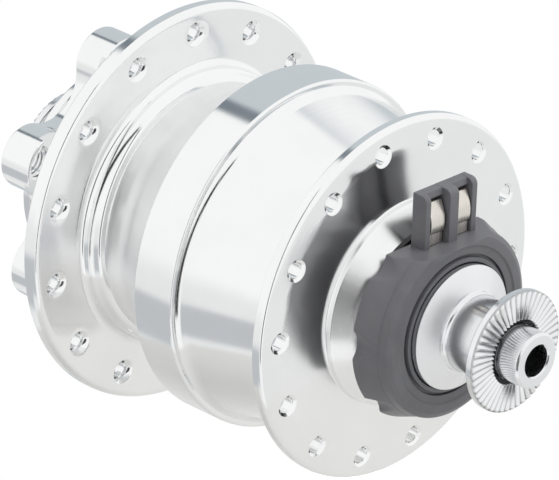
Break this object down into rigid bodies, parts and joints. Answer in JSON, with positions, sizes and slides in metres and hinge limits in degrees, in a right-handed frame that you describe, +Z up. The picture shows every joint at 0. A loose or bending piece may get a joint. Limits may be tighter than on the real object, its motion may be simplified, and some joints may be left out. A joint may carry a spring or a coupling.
{
  "type": "hub dynamo",
  "caption": "Front wheel hub dynamo in bright alloy with a disc brake mount, a hollow axle and a finned connector on its grey cap.",
  "frame": {"origin": "hub's centre on the axle's axis, midway between the lock nuts' outer faces", "axes": "+Y along the axle toward the disc brake side (the bicycle's left), +Z up with the connector on top, +X the bicycle's forward side"},
  "size_m": [0.0664, 0.108, 0.0664],
  "materials": {
    "polished_alloy": "bright silver, smooth, with fine turning lines",
    "turned_alloy": "turned, satin silver",
    "axle_steel": "turned steel, satin",
    "steel": "plain electrical steel",
    "bearing_steel": "ground bearing steel",
    "magnet": "dark sintered magnet",
    "copper": "enamelled copper wire",
    "rubber": "black rubber",
    "cap_plastic": "dark grey moulded plastic, satin",
    "bobbin_plastic": "natural nylon",
    "cage_plastic": "brown nylon",
    "contact_metal": "nickel plated spring brass, satin",
    "lead_insulation": "insulated copper leads"
  },
  "bodies": {
    "axle_assembly": {"axle": "axle_steel", "left_inner_race": "bearing_steel", "right_inner_race": "bearing_steel", "left_spacer": "turned_alloy", "right_spacer": "turned_alloy", "left_claw_pole": "steel", "right_claw_pole": "steel", "core_sleeve": "steel", "coil_bobbin": "bobbin_plastic", "coil_winding": "copper", "stator_nut": "turned_alloy", "lead_wires": "lead_insulation", "connector_cap": "cap_plastic", "contact_blades": "contact_metal", "left_lock_nut": "turned_alloy", "right_lock_nut": "turned_alloy"},
    "hub_assembly": {"hub_shell": "polished_alloy", "right_cover": "polished_alloy", "cover_seal_ring": "rubber", "flux_ring": "steel", "magnets": "magnet", "left_outer_race": "bearing_steel", "right_outer_race": "bearing_steel", "left_dust_seal": "rubber", "right_dust_seal": "rubber"},
    "left_ball_set": {"left_balls": "bearing_steel", "left_cage": "cage_plastic"},
    "right_ball_set": {"right_balls": "bearing_steel", "right_cage": "cage_plastic"}
  },
  "joints": [
    {"name": "hub_spin", "type": "hinge", "parent": "axle_assembly", "child": "hub_assembly", "pos_m": [0, 0, 0], "axis": [0, 1, 0], "continuous": true},
    {"name": "left_ball_spin", "type": "hinge", "parent": "axle_assembly", "child": "left_ball_set", "pos_m": [0, 0, 0], "axis": [0, 1, 0], "continuous": true},
    {"name": "right_ball_spin", "type": "hinge", "parent": "axle_assembly", "child": "right_ball_set", "pos_m": [0, 0, 0], "axis": [0, 1, 0], "continuous": true}
  ],
  "couplings": [
    {"joint": "left_ball_spin", "follows": "hub_spin", "ratio": 0.5884},
    {"joint": "right_ball_spin", "follows": "hub_spin", "ratio": 0.5884}
  ]
}
